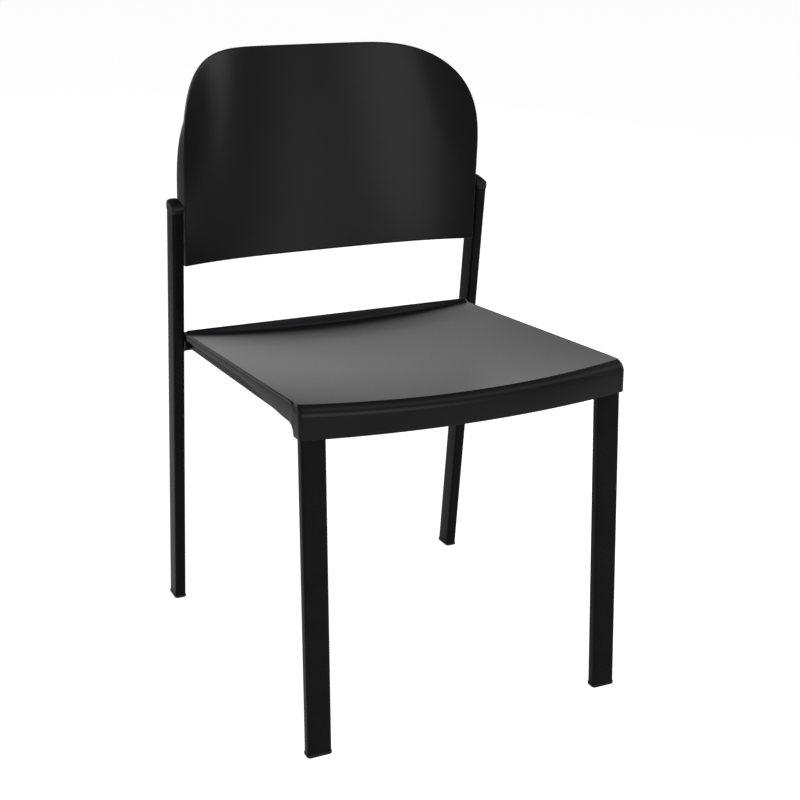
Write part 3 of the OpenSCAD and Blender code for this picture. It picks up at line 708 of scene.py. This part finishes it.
@dataclass
class Seat:
    """The moulded seat. Sizes are in millimetres."""

    front_h: float = 458.0
    rear_h: float = 434.5
    front_y: float = -241.915
    rear_y: float = 191.085
    front_w: float = 445.6
    rear_w: float = 446.6
    bow: float = 25.0
    dip: float = 4.0
    dish: float = 10.5
    dish_power: float = 2.0
    fade_power: float = 3.0
    lip_share: float = 0.75
    bowl_run: float = 100.0
    lip_rise: float = 4.0
    fascia: float = 41.0
    skirt: float = 10.5
    wall: float = 3.5
    skirt_wall: float = 3.0
    corner_lead: float = 12.5
    middle_lead: float = 12.5
    front_roll: float = 14.0
    edge_roll: float = 3.0
    crease_deg: float = 24.0
    rear_edge: float = 1.5
    front_corner: float = 8.0
    rear_corner: float = 6.0
    lip_run: float = 10.0
    swell_run: float = 210.0
    swell: float = 15.5
    gusset_len: float = 23.0
    gusset_r: float = 15.5
    lower_r: float = 0.8
    boss_r: float = 6.0
    boss_edge: float = 0.4
    boss_steps: int = 36
    pilot_r: float = 2.45
    pilot_depth: float = 11.5
    front_boss: Point = (150.138, -231.736, 440.5)
    rear_boss: Point = (174.9, 149.4, 413.7)
    rear_boss_lean: float = 2.27
    corner_steps: int = 15
    roll_steps: int = 9
    front_steps: int = 91
    rear_steps: int = 71
    side_spans: Spans = ((0.0, 0.03, 13), (0.03, 0.88, 56), (0.88, 1.0, 61))
    top_spans: Spans = ((0.02, 0.9, 34), (0.91, 0.996, 22))
    under_spans: Spans = ((0.965, 0.9, 12), (0.88, 0.05, 22))

    @property
    def depth(self) -> float:
        """Depth between the front corners and the rear edge."""
        return self.rear_y - self.front_y

    def run(self, x: np.ndarray) -> np.ndarray:
        """Run of the top from its bowed front edge, a parabola, to its rear edge."""
        half = self.half(self.front_y) - self.front_corner
        return self.depth + self.bow * np.maximum(0.0, 1 - (x / half) ** 2)

    def edge_z(self, y: np.ndarray, run: np.ndarray | float) -> np.ndarray:
        """Height of the straight line from the front edge to the rear edge."""
        return self.rear_h + (self.front_h - self.rear_h) * np.minimum(1.0, (self.rear_y - y) / run)

    def crest_z(self, y: np.ndarray, run: np.ndarray | float) -> np.ndarray:
        """Height of that line with the rear lip, which rises evenly above the side edges over its run."""
        lip = 1 - rise((self.rear_y - self.edge_roll - y) / self.lip_run)
        return self.edge_z(y, run) + self.lip_rise * lip

    def half(self, y: np.ndarray) -> np.ndarray:
        """Half the width over the skirts."""
        return (self.front_w + (self.rear_w - self.front_w) * (y - self.front_y) / self.depth) / 2

    def dish_share(self, x: np.ndarray, y: np.ndarray) -> np.ndarray:
        """Share of the dish's depth: one less a power of the share across, which leaves none at the sides."""
        return np.maximum(0.0, 1 - (np.abs(x) / self.half(y)) ** self.dish_power)

    def top_z(self, x: np.ndarray, y: np.ndarray) -> np.ndarray:
        """Height of the upper face.

        A straight line falls from the front edge to the rear edge. Below it lies the dish: its share across,
        times two even rises, a steep one over the lip's run and a long one ahead of it. With the cube of the
        share of the run ahead of the lip, the dish fades to the front edge's dip.

        Args:
            x: Places across.
            y: Places along the depth.

        Returns:
            Heights above the floor.
        """
        run = self.run(x)
        ahead = np.maximum(0.0, self.rear_y - self.edge_roll - y)
        fade = 1 - (1 - self.dip / self.dish) * np.minimum(1.0, ahead / run) ** self.fade_power
        steep, long = rise(ahead / self.lip_run), rise(ahead / self.bowl_run)
        hollow = self.lip_share * steep + (1 - self.lip_share) * long
        return self.crest_z(y, run) - self.dish * self.dish_share(x, y) * fade * hollow

    def outline(self, side_in: float, rear_in: float, lead: float, middle: float) -> np.ndarray:
        """Outline in plan, clockwise from above, from the rear right corner.

        Corners are quarter circles, the sides are straight, and the front is a parabola between the corners.

        Args:
            side_in: Inset of the sides.
            rear_in: Inset of the rear edge.
            lead: Lead of the front corners.
            middle: Lead of the front's middle.

        Returns:
            Array of shape (points, 4): X, Y, share of the front and share of the rear.
        """
        rear, front = self.rear_y - rear_in, self.front_y - lead
        rear_r, front_r = self.rear_corner - rear_in, self.front_corner - side_in
        half_rear, half_front = self.half(rear) - side_in, self.half(front) - side_in
        turn = np.radians(np.linspace(0.0, 90.0, self.corner_steps))
        ones, none = np.ones_like(turn), np.zeros_like(turn)
        arc_x, arc_y = half_rear - rear_r + rear_r * np.sin(turn), rear - rear_r + rear_r * np.cos(turn)
        rear_arc = np.stack([arc_x, arc_y, none, 1 - rise(turn / turn[-1])], axis=-1)
        shares = np.unique(spread(self.side_spans))[1:-1]
        y = rear - rear_r - (rear - rear_r - front - front_r) * shares
        gusset_y = self.front_y - self.corner_lead + self.gusset_len
        near = rise((gusset_y + self.gusset_r - y) / self.gusset_r)
        side = np.stack([self.half(y) - side_in, y, near, np.zeros_like(y)], axis=-1)
        arc_x, arc_y = half_front - front_r + front_r * np.cos(turn), front + front_r - front_r * np.sin(turn)
        front_arc = np.stack([arc_x, arc_y, ones, none], axis=-1)
        right = np.concatenate([rear_arc, side, front_arc])
        u = np.linspace(1.0, -1.0, self.front_steps)[1:-1]
        bowed = front - (self.bow + middle - lead) * (1 - u * u)
        face = np.stack([(half_front - front_r) * u, bowed, np.ones_like(u), np.zeros_like(u)], axis=-1)
        v = np.linspace(-1.0, 1.0, self.rear_steps)[1:-1]
        level = np.full_like(v, rear)
        back = np.stack([(half_rear - rear_r) * v, level, np.zeros_like(v), np.ones_like(v)], axis=-1)
        return np.concatenate([right, face, mirror_half(right), back])

    def depths(self, outline: np.ndarray) -> np.ndarray:
        """Depth of the skirt below the edge.

        On the sides it is the skirt, plus a swell that rises evenly to the gusset, then a quarter circle down
        to the fascia's height. At the rear the dish's underside sets it.

        Args:
            outline: Outline with its shares of front and rear.

        Returns:
            Depths, one for each point.
        """
        x, y, front, rear = outline.T
        gusset_y = self.front_y - self.corner_lead + self.gusset_len
        swell = self.swell * rise((gusset_y + self.swell_run - y) / self.swell_run)
        into = np.clip((gusset_y + self.gusset_r - y) / self.gusset_r, 0.0, 1.0)
        hollow = 1 - np.sqrt(1 - into * into)
        side = self.skirt + swell + (self.fascia - self.skirt - swell) * hollow
        side = side + self.crest_z(y, self.depth) - self.edge_z(y, self.depth)
        across = self.dish_share(x, y)
        lip = np.maximum(self.edge_roll + self.rear_edge, self.wall + self.lip_rise + self.dish * across)
        return np.where(front >= 1.0, self.fascia - self.dip * across, side * (1 - rear) + lip * rear)

    def shell(self) -> Surface:
        """The moulding's closed surface: over the top, round the edge, down the skirt and back in underneath.

        Between the crease's angle and a right angle the roll is an arc of an ellipse.

        Returns:
            The surface.
        """
        crest = self.outline(self.edge_roll, self.edge_roll, 0.0, 0.0)
        outer = self.outline(0.0, 0.0, self.corner_lead, self.middle_lead)
        wall = self.skirt_wall
        inner = self.outline(wall, wall, self.corner_lead - wall, self.middle_lead - wall)
        middle = np.array([0.0, (self.front_y + self.rear_y) / 2])
        dips = self.dip * self.dish_share(crest[:, 0], crest[:, 1]) * crest[:, 2]
        level = self.crest_z(crest[:, 1], self.run(crest[:, 0])) - dips
        fall = self.edge_roll + (self.front_roll - self.edge_roll) * crest[:, 2]
        bottom = level - self.depths(outer)

        def drawn(outline: np.ndarray, share: float, under: float) -> np.ndarray:
            """Ring drawn in to the middle by a share, on the upper face less a depth."""
            plan = middle + (outline[:, :2] - middle) * share
            return np.column_stack([plan, self.top_z(plan[:, 0], plan[:, 1]) - under])

        def at(plan: np.ndarray, z: np.ndarray) -> np.ndarray:
            """Ring in plan at heights."""
            return np.column_stack([plan[:, :2], z])

        rings = [drawn(crest, share, 0.0) for share in spread(self.top_spans)]
        rings.append(at(crest, level))
        first = np.radians(self.crease_deg) * crest[:, 2]
        for share in np.linspace(0.0, 1.0, self.roll_steps)[1:]:
            angle = first + (np.pi / 2 - first) * share
            mix = ((np.sin(angle) - np.sin(first)) / (1 - np.sin(first)))[:, None]
            plan = crest[:, :2] * (1 - mix) + outer[:, :2] * mix
            rings.append(at(plan, level - fall * (1 - np.cos(angle) / np.cos(first))))
        r = self.lower_r
        rings.append(at(outer, bottom + r))
        for angle in np.radians([45.0, 90.0]):
            mix = r / wall * (1 - math.cos(angle))
            plan = outer[:, :2] * (1 - mix) + inner[:, :2] * mix
            rings.append(at(plan, bottom + r * (1 - math.sin(angle))))
        rings.append(at(inner, bottom))
        rings.append(at(inner, level - fall))
        rings.extend(drawn(inner, share, self.wall) for share in spread(self.under_spans))
        made = Surface()
        made.add_rings(np.stack(rings))
        return made

    def boss(self, made: Surface, foot: np.ndarray, lean: float) -> None:
        """Adds a screw boss: a round post from the underside down to a rail or a tab, with its pilot hole.

        Args:
            made: The surface that takes the boss.
            foot: Centre of its lower face.
            lean: Its lean about X, in degrees.
        """
        around = -np.linspace(0.0, 2 * np.pi, self.boss_steps + 1)[:-1]
        circle = np.stack([np.cos(around), np.sin(around), np.zeros_like(around)], axis=-1)
        height = float(self.top_z(foot[0], foot[1])) - self.wall / 2 - foot[2]
        profile = (
            (self.boss_r, height),
            (self.boss_r, self.boss_edge),
            (self.boss_r - self.boss_edge, 0.0),
            (self.pilot_r, 0.0),
            (self.pilot_r, self.pilot_depth),
        )
        rings = np.stack([circle * radius + np.array([0.0, 0.0, z]) for radius, z in profile])
        made.add_rings(rings @ turn_x(lean).T + foot)

    def build(self) -> None:
        """Builds the seat and puts it in place of its node."""
        surface = self.shell()
        for side in Side:
            for (x, y, z), lean in ((self.front_boss, 0.0), (self.rear_boss, -self.rear_boss_lean)):
                self.boss(surface, np.array([side.value * x, y, z]), lean)
        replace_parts(surface.piece("seat_moulding", POLYPROPYLENE, "moulding"), "seat_shell")


# The backrest


@dataclass
class Backrest:
    """The moulded backrest. Sizes are in millimetres."""

    half: float = 223.5
    low_h: float = 535.0
    height: float = 286.0
    low_y: float = 169.303
    shoulder_w: float = 143.0
    shoulder_h: float = 165.0
    shoulder_power: float = 0.65
    recess_low: float = 23.0
    recess_high: float = 116.0
    panel_power: float = 3.5
    lean: float = 5.0
    wall: float = 5.0
    flange_wall: float = 4.0
    flange_depth: float = 36.0
    flange_full: float = 93.0
    flange_end: float = 210.0
    flange_power: float = 2.7
    flange_draft: float = 0.4
    fillet: float = 2.0
    edge_r: float = 2.0
    rim_r: float = 0.8
    rim_in: float = 0.01
    rim_mixes: tuple[float, ...] = (0.2, 0.8)
    crown_steps: int = 22
    shoulder_steps: int = 91
    flank_steps: int = 40
    foot_steps: int = 5
    base_steps: int = 60
    edge_steps: int = 7
    front_spans: Spans = ((0.02, 0.9, 36), (0.915, 0.992, 10))
    rear_spans: Spans = ((0.99, 0.9, 10), (0.88, 0.05, 30))

    def face_y(self, x: np.ndarray, z: np.ndarray) -> np.ndarray:
        """Place of the front face.

        The side edges lean forward evenly. Between them the face is set back by a recess that grows with
        height, times one less the share across to the panel's power, so its middle is nearly flat.

        Args:
            x: Places across.
            z: Heights.

        Returns:
            Places along Y.
        """
        up = (z - self.low_h) / self.height
        recess = self.recess_low + (self.recess_high - self.recess_low) * up
        share = np.maximum(0.0, 1 - (np.abs(x) / self.half) ** self.panel_power)
        return self.low_y - (z - self.low_h) * math.tan(math.radians(self.lean)) + recess * share

    def rear_y(self, x: np.ndarray, z: np.ndarray) -> np.ndarray:
        """Place of the rear face: the wall's thickness behind the front face, measured square to it.

        Args:
            x: Places across.
            z: Heights.

        Returns:
            Places along Y.
        """
        step = 0.5
        across = (self.face_y(x + step, z) - self.face_y(x - step, z)) / (2 * step)
        up = (self.face_y(x, z + step) - self.face_y(x, z - step)) / (2 * step)
        return self.face_y(x, z) + self.wall * np.sqrt(1 + across**2 + up**2)

    def outline(self, inset: float) -> np.ndarray:
        """Outline, clockwise from the front, from the middle of the top.

        The shoulders are the powers of a cosine and a sine, fuller than a quarter ellipse.

        Args:
            inset: How far the outline lies inside the backrest's own.

        Returns:
            Array of shape (points, 3): X, Z and the share of the side flange.
        """
        half, low, high = self.half - inset, self.low_h + inset, self.low_h + self.height - inset
        round_w, round_h = self.shoulder_w - inset, self.shoulder_h - inset
        crown = np.linspace(0.0, 1.0, self.crown_steps)[:-1] * (half - round_w)
        power = self.shoulder_power
        even = np.linspace(0.0, 1.0, self.shoulder_steps)
        turn = np.pi / 2 * (1 - rise(even) * 0.5 - even * 0.5)
        arc_x = half - round_w + round_w * np.cos(turn).clip(0.0) ** power
        arc_z = high - round_h + round_h * np.sin(turn).clip(0.0) ** power
        flank = np.linspace(high - round_h, low, self.flank_steps)[1:]
        end_x = self.half - self.flange_wall - 2 * self.fillet
        along = np.linspace(0.0, 1.0, self.foot_steps)[1:]
        foot = half + (end_x - half) * along
        base = np.linspace(end_x, 0.0, self.base_steps)[1:]
        right = np.concatenate([
            np.stack(np.broadcast_arrays(x, z, share), axis=-1)
            for x, z, share in (
                (crown, high, 0.0),
                (arc_x, arc_z, 1.0),
                (half, flank, 1.0),
                (foot, low, 1 - rise(along)),
                (base, low, 0.0),
            )
        ])
        return np.concatenate([right, mirror_half(right)[1:-1]])

    def flange_reach(self, z: np.ndarray) -> np.ndarray:
        """Depth of a side flange: full up to a height, then one less a power of the share up to its end."""
        share = np.clip((z - self.low_h - self.flange_full) / (self.flange_end - self.flange_full), 0.0, 1.0)
        return self.flange_depth * (1 - share**self.flange_power)

    def shell(self) -> Surface:
        """The moulding's closed surface: out over the front, back along the flanges and in again behind.

        Returns:
            The surface.
        """
        edge, outer = self.outline(self.edge_r), self.outline(0.0)
        inner = self.outline(self.flange_wall)
        foot = self.outline(self.flange_wall + self.flange_draft)
        root = self.outline(self.flange_wall + self.fillet)
        centre = np.array([0.0, self.low_h + self.height / 2])
        face = self.face_y(outer[:, 0], outer[:, 1])
        ends = face + self.flange_reach(outer[:, 1]) * outer[:, 2]
        tips = np.maximum(ends, self.rear_y(inner[:, 0], inner[:, 1]))

        def at(plan: np.ndarray, y: np.ndarray) -> np.ndarray:
            """Ring with the outline's X and Z at places along Y."""
            return np.stack([plan[:, 0], y, plan[:, 1]], axis=-1)

        def drawn(outline: np.ndarray, share: float) -> np.ndarray:
            """Outline drawn in to the centre by a share."""
            return centre + (outline[:, :2] - centre) * share

        rings = []
        for share in spread(self.front_spans):
            plan = drawn(edge, share)
            rings.append(at(plan, self.face_y(plan[:, 0], plan[:, 1])))
        for angle in np.radians(np.linspace(0.0, 90.0, self.edge_steps)):
            plan = outer[:, :2] + (edge[:, :2] - outer[:, :2]) * (1 - math.sin(angle))
            rings.append(at(plan, self.face_y(plan[:, 0], plan[:, 1]) + self.edge_r * (1 - math.cos(angle))))
        rim = np.maximum(ends, self.rear_y(outer[:, 0], outer[:, 1]))
        rings.append(at(outer, rim - self.rim_r))
        rings.append(at(outer * (1 - self.rim_in) + inner * self.rim_in, rim - self.rim_r / 2))
        for mix in self.rim_mixes:
            rings.append(at(outer * (1 - mix) + inner * mix, rim * (1 - mix) + tips * mix))
        rings.append(at(inner, tips - self.rim_r / 2 * (ends >= tips)))
        foot_y = np.minimum(tips, self.rear_y(foot[:, 0], foot[:, 1]) + self.fillet)
        rings.append(at(foot, foot_y))
        rings.append(at(root, self.rear_y(root[:, 0], root[:, 1])))
        for share in spread(self.rear_spans):
            plan = drawn(root, share)
            rings.append(at(plan, self.rear_y(plan[:, 0], plan[:, 1])))
        made = Surface()
        made.add_rings(np.stack(rings))
        return made

    def build(self) -> None:
        """Builds the backrest and puts it in place of its node."""
        surface = self.shell()
        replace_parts(surface.piece("backrest_moulding", POLYPROPYLENE, "moulding"), "backrest_shell")


# The room


@dataclass(frozen=True)
class Lamp:
    """Flat soft lamp, in metres. Its level is its brightness as seen, where white is 1."""

    name: str
    place: Point
    aim: Point
    width: float
    height: float
    level: float

    def build(self) -> None:
        """Adds the lamp. A matt emitter's power is pi times its level and its area."""
        light = bpy.data.lights.new(self.name, "AREA")
        light.shape = "RECTANGLE"
        light.size, light.size_y = self.width, self.height
        light.energy = self.level * math.pi * self.width * self.height
        made = bpy.data.objects.new(self.name, light)
        bpy.context.scene.collection.objects.link(made)
        made.location = self.place
        made.rotation_euler = (Vector(self.aim) - Vector(self.place)).to_track_quat("-Z", "Y").to_euler()


@dataclass
class Studio:
    """Floor, world, lamps and camera. Lengths are in metres."""

    floor_size: float = 60.0
    floor_colour: str = "e6e6e6"
    floor_glow: float = 0.84
    # Painted light: the floor's glow in gloss, from its level near the chair to its level far off, over this
    # span of distance
    painted_light_span: tuple[float, float] = (0.7, 3.0)
    painted_light_levels: tuple[float, float] = (0.2, 0.06)
    wall_span: tuple[float, float] = (-0.25, 0.45)
    behind_span: tuple[float, float] = (0.09, 0.4)
    behind_levels: tuple[float, float] = (1.62, 0.1)
    ahead_span: tuple[float, float] = (0.1, 0.4)
    ahead_levels: tuple[float, float] = (0.6, 0.12)
    lamps: tuple[Lamp, ...] = (
        Lamp("top_lamp", (1.1, -1.0, 2.8), (1.1, -1.0, 0.0), 3.8, 1.2, 1.2),
        Lamp("front_lamp", (-0.95, -3.2, 1.6), (-0.95, 0.2, 0.8), 4.5, 1.5, 2.8),
        Lamp("right_lamp", (3.2, 0.8, 1.8), (0.0, 0.8, 1.3), 4.3, 1.6, 2.3),
    )
    clip_end: float = 100.0

    def floor(self) -> None:
        """Pale floor that keeps the chair's shadow.

        A plain glow brings it up to white to the camera. In gloss it is grey, with painted light: its glow
        dims away from the chair, as a studio floor's light does away from its lamps.
        """
        s = self.floor_size / 2
        mesh = bpy.data.meshes.new("floor")
        mesh.from_pydata([(-s, -s, 0), (s, -s, 0), (s, s, 0), (-s, s, 0)], [], [(0, 1, 2, 3)])
        made = bpy.data.objects.new("floor", mesh)
        bpy.context.scene.collection.objects.link(made)
        material = bpy.data.materials.new("painted_floor")
        material.use_nodes = True
        tree = material.node_tree
        tree.nodes.clear()
        matt = add_node(tree, "ShaderNodeBsdfDiffuse", {"Color": linear(self.floor_colour)})
        path = add_node(tree, "ShaderNodeLightPath").outputs
        glossy = add_node(
            tree,
            "ShaderNodeMath",
            {"operation": "MAXIMUM"},
            {0: path["Is Glossy Ray"], 1: path["Is Transmission Ray"]},
        )
        place = add_node(tree, "ShaderNodeTexCoord").outputs["Object"]
        away = add_node(tree, "ShaderNodeVectorMath", {"operation": "LENGTH"}, {0: place})
        # Painted light: a glow seen only in gloss, brighter near the chair and dimmer away from it
        painted_floor_light = add_node(
            tree,
            "ShaderNodeMapRange",
            {
                "interpolation_type": "SMOOTHSTEP",
                "From Min": self.painted_light_span[0],
                "From Max": self.painted_light_span[1],
                "To Min": self.painted_light_levels[0],
                "To Max": self.painted_light_levels[1],
            },
            {"Value": away.outputs["Value"]},
        )
        mirrored = add_node(
            tree,
            "ShaderNodeMath",
            {"operation": "MULTIPLY"},
            {0: glossy.outputs[0], 1: painted_floor_light.outputs["Result"]},
        )
        level = add_node(
            tree,
            "ShaderNodeMath",
            {"operation": "MULTIPLY_ADD", 1: self.floor_glow},
            {0: path["Is Camera Ray"], 2: mirrored.outputs[0]},
        )
        glow = add_node(tree, "ShaderNodeEmission", {"Color": (1, 1, 1, 1)}, {"Strength": level.outputs[0]})
        both = add_node(tree, "ShaderNodeAddShader", None, {0: matt.outputs[0], 1: glow.outputs[0]})
        add_node(tree, "ShaderNodeOutputMaterial", None, {"Surface": both.outputs[0]})
        mesh.materials.append(material)

    def world(self) -> None:
        """World of two walls and a dark ceiling.

        The wall behind the chair is bright near the floor and dims upwards. The one on the camera's side is
        dim, and a little brighter near the floor.
        """
        world = bpy.data.worlds.new("studio")
        bpy.context.scene.world = world
        world.use_nodes = True
        tree = world.node_tree
        tree.nodes.clear()
        way = add_node(tree, "ShaderNodeTexCoord").outputs["Generated"]
        parts = add_node(tree, "ShaderNodeSeparateXYZ", None, {"Vector": way}).outputs
        share, ahead, behind = (
            add_node(
                tree,
                "ShaderNodeMapRange",
                {
                    "interpolation_type": "SMOOTHSTEP",
                    "From Min": span[0],
                    "From Max": span[1],
                    "To Min": levels[0],
                    "To Max": levels[1],
                },
                {"Value": parts[axis]},
            ).outputs["Result"]
            for axis, span, levels in (
                ("Y", self.wall_span, (0.0, 1.0)),
                ("Z", self.ahead_span, self.ahead_levels),
                ("Z", self.behind_span, self.behind_levels),
            )
        )
        level = add_node(tree, "ShaderNodeMix", {"data_type": "FLOAT"}, {0: share, 2: ahead, 3: behind})
        glow = add_node(
            tree, "ShaderNodeBackground", {"Color": (1, 1, 1, 1)}, {"Strength": level.outputs[0]}
        )
        add_node(tree, "ShaderNodeOutputWorld", None, {"Surface": glow.outputs[0]})

    def camera(self) -> None:
        """Camera at the photograph's angle."""
        data = bpy.data.cameras.new("camera")
        data.lens, data.sensor_width = CAMERA_LENS_MM, SENSOR_MM
        data.sensor_fit = "HORIZONTAL"
        data.clip_end = self.clip_end
        made = bpy.data.objects.new("camera", data)
        bpy.context.scene.collection.objects.link(made)
        made.location = [v * METRES_PER_MM for v in CAMERA_PLACE_MM]
        made.rotation_euler = [math.radians(v) for v in CAMERA_TURN_DEG]
        bpy.context.scene.camera = made

    def build(self) -> None:
        """Sets up the room."""
        self.camera()
        self.floor()
        self.world()
        for lamp in self.lamps:
            lamp.build()
        bpy.context.scene.view_settings.view_transform = "Standard"


def dress_nodes(frame: dict) -> None:
    """Gives the nodes that stay as they are their finishes.

    Args:
        frame: The loaded frame.
    """
    slots = {part["node"]: part["material_slot"] for part in frame["record"]["subparts"]}
    finishes = {"frame": POWDER_COAT, "moulding": POLYPROPYLENE, "plug": POLYETHYLENE, "fastener": ZINC_PLATE}
    for name, node in frame["nodes"].items():
        node.data.materials.clear()
        node.data.materials.append(finishes[slots[name]].material())
        LOG.info("%s: %s", name, slots[name])


def main() -> None:
    logging.basicConfig(level=logging.INFO, format="%(message)s")
    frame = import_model()
    dress_nodes(frame)
    Studio().build()
    Frame().build()
    Seat().build()
    Backrest().build()


if __name__ == "__main__":
    main()
